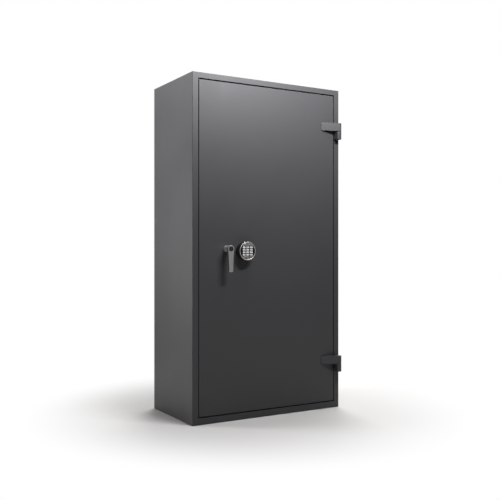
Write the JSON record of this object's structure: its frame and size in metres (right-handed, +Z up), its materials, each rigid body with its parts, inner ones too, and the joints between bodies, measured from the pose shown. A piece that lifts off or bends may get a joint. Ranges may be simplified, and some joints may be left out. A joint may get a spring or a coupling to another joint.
{
  "type": "gun safe",
  "caption": "Tall freestanding steel gun safe with one hinged door, lever handle, keypad lock, bolt work, barrel rack and shelf.",
  "frame": {"origin": "middle of the cabinet's base, on the floor", "axes": "+Z up, +Y towards the cabinet's back, +X to the right as seen from the front; the door faces -Y"},
  "size_m": [0.77, 0.4565, 1.5],
  "materials": {
    "graphite_powder_coat": "fine-texture powder coat on steel",
    "grey_powder_coat": "light grey powder coat on thin steel",
    "fire_board": "gypsum fire board",
    "black_rubber": "matt sealing strip",
    "zinc_plated_steel": "zinc plated",
    "brass": "plain bearing brass",
    "satin_nickel": "satin nickel plating",
    "black_plastic": "fine satin moulding",
    "lamp_lens": "clear lens",
    "battery_wrap": "printed sleeve, plain",
    "grey_felt": "short needle felt",
    "black_foam": "closed-cell foam",
    "key_silicone": "light grey satin silicone"
  },
  "bodies": {
    "cabinet": {"outer_shell": "graphite_powder_coat", "body_insulation": "fire_board", "door_frame": "graphite_powder_coat", "inner_liner": "grey_powder_coat", "door_seal": "black_rubber", "hinge_block_upper": "graphite_powder_coat", "hinge_block_lower": "graphite_powder_coat", "hinge_pin_upper": "zinc_plated_steel", "hinge_pin_lower": "zinc_plated_steel", "hinge_washer_upper": "black_plastic", "hinge_washer_lower": "black_plastic", "shelf": "grey_felt", "shelf_bracket_left": "zinc_plated_steel", "shelf_bracket_right": "zinc_plated_steel", "barrel_rack": "black_foam", "floor_mat": "grey_felt"},
    "door": {"door_panel": "graphite_powder_coat", "door_insulation": "fire_board", "door_back_plate": "grey_powder_coat", "bolt_cover": "grey_powder_coat", "bolt_guide": "zinc_plated_steel", "lock_case": "zinc_plated_steel", "lock_cable": "black_plastic", "handle_collar": "satin_nickel", "spindle_bush": "brass", "keypad_base": "black_plastic", "keypad_housing": "satin_nickel", "keypad_face": "black_plastic", "status_led": "lamp_lens", "battery": "battery_wrap", "hinge_arm_upper": "graphite_powder_coat", "hinge_arm_lower": "graphite_powder_coat", "dog_bolt_1": "zinc_plated_steel", "dog_bolt_2": "zinc_plated_steel"},
    "handle": {"lever": "satin_nickel", "lever_cap": "black_plastic", "spindle": "zinc_plated_steel", "pinion": "zinc_plated_steel"},
    "carriage": {"bolt_carriage": "zinc_plated_steel", "side_bolt_1": "zinc_plated_steel", "side_bolt_2": "zinc_plated_steel", "side_bolt_3": "zinc_plated_steel", "side_bolt_4": "zinc_plated_steel"},
    "upper_rod": {"top_rod": "zinc_plated_steel"},
    "lower_rod": {"bottom_rod": "zinc_plated_steel"},
    "lock": {"lock_bolt": "zinc_plated_steel"},
    "press_1": {"key_1": "key_silicone"},
    "press_2": {"key_2": "key_silicone"},
    "press_3": {"key_3": "key_silicone"},
    "press_4": {"key_4": "key_silicone"},
    "press_5": {"key_5": "key_silicone"},
    "press_6": {"key_6": "key_silicone"},
    "press_7": {"key_7": "key_silicone"},
    "press_8": {"key_8": "key_silicone"},
    "press_9": {"key_9": "key_silicone"},
    "press_star": {"key_star": "key_silicone"},
    "press_0": {"key_0": "key_silicone"},
    "press_hash": {"key_hash": "key_silicone"}
  },
  "joints": [
    {"name": "door_hinge", "type": "hinge", "parent": "cabinet", "child": "door", "pos_m": [0.371, -0.222, 0.75], "axis": [0, 0, 1], "range_deg": [0, 180]},
    {"name": "lever_turn", "type": "hinge", "parent": "door", "child": "handle", "pos_m": [-0.222, -0.205, 0.75], "axis": [0, 1, 0], "range_deg": [0, 90]},
    {"name": "carriage_slide", "type": "slide", "parent": "door", "child": "carriage", "axis": [-1, 0, 0], "range_m": [0, 0.0236]},
    {"name": "upper_rod_slide", "type": "slide", "parent": "door", "child": "upper_rod", "axis": [0, 0, 1], "range_m": [0, 0.0236]},
    {"name": "lower_rod_slide", "type": "slide", "parent": "door", "child": "lower_rod", "axis": [0, 0, -1], "range_m": [0, 0.0236]},
    {"name": "lock_bolt_slide", "type": "slide", "parent": "door", "child": "lock", "axis": [-1, 0, 0], "range_m": [0, 0.0127]},
    {"name": "key_1_press", "type": "slide", "parent": "door", "child": "press_1", "axis": [0, 1, 0], "range_m": [0, 0.0012], "stiffness_N_per_m": 800},
    {"name": "key_2_press", "type": "slide", "parent": "door", "child": "press_2", "axis": [0, 1, 0], "range_m": [0, 0.0012], "stiffness_N_per_m": 800},
    {"name": "key_3_press", "type": "slide", "parent": "door", "child": "press_3", "axis": [0, 1, 0], "range_m": [0, 0.0012], "stiffness_N_per_m": 800},
    {"name": "key_4_press", "type": "slide", "parent": "door", "child": "press_4", "axis": [0, 1, 0], "range_m": [0, 0.0012], "stiffness_N_per_m": 800},
    {"name": "key_5_press", "type": "slide", "parent": "door", "child": "press_5", "axis": [0, 1, 0], "range_m": [0, 0.0012], "stiffness_N_per_m": 800},
    {"name": "key_6_press", "type": "slide", "parent": "door", "child": "press_6", "axis": [0, 1, 0], "range_m": [0, 0.0012], "stiffness_N_per_m": 800},
    {"name": "key_7_press", "type": "slide", "parent": "door", "child": "press_7", "axis": [0, 1, 0], "range_m": [0, 0.0012], "stiffness_N_per_m": 800},
    {"name": "key_8_press", "type": "slide", "parent": "door", "child": "press_8", "axis": [0, 1, 0], "range_m": [0, 0.0012], "stiffness_N_per_m": 800},
    {"name": "key_9_press", "type": "slide", "parent": "door", "child": "press_9", "axis": [0, 1, 0], "range_m": [0, 0.0012], "stiffness_N_per_m": 800},
    {"name": "key_star_press", "type": "slide", "parent": "door", "child": "press_star", "axis": [0, 1, 0], "range_m": [0, 0.0012], "stiffness_N_per_m": 800},
    {"name": "key_0_press", "type": "slide", "parent": "door", "child": "press_0", "axis": [0, 1, 0], "range_m": [0, 0.0012], "stiffness_N_per_m": 800},
    {"name": "key_hash_press", "type": "slide", "parent": "door", "child": "press_hash", "axis": [0, 1, 0], "range_m": [0, 0.0012], "stiffness_N_per_m": 800}
  ],
  "couplings": [
    {"joint": "carriage_slide", "follows": "lever_turn", "m_per_rad": 0.015},
    {"joint": "upper_rod_slide", "follows": "lever_turn", "m_per_rad": 0.015},
    {"joint": "lower_rod_slide", "follows": "lever_turn", "m_per_rad": 0.015},
    {"joint": "lock_bolt_slide", "follows": "lever_turn", "m_per_rad": 0.00808}
  ]
}
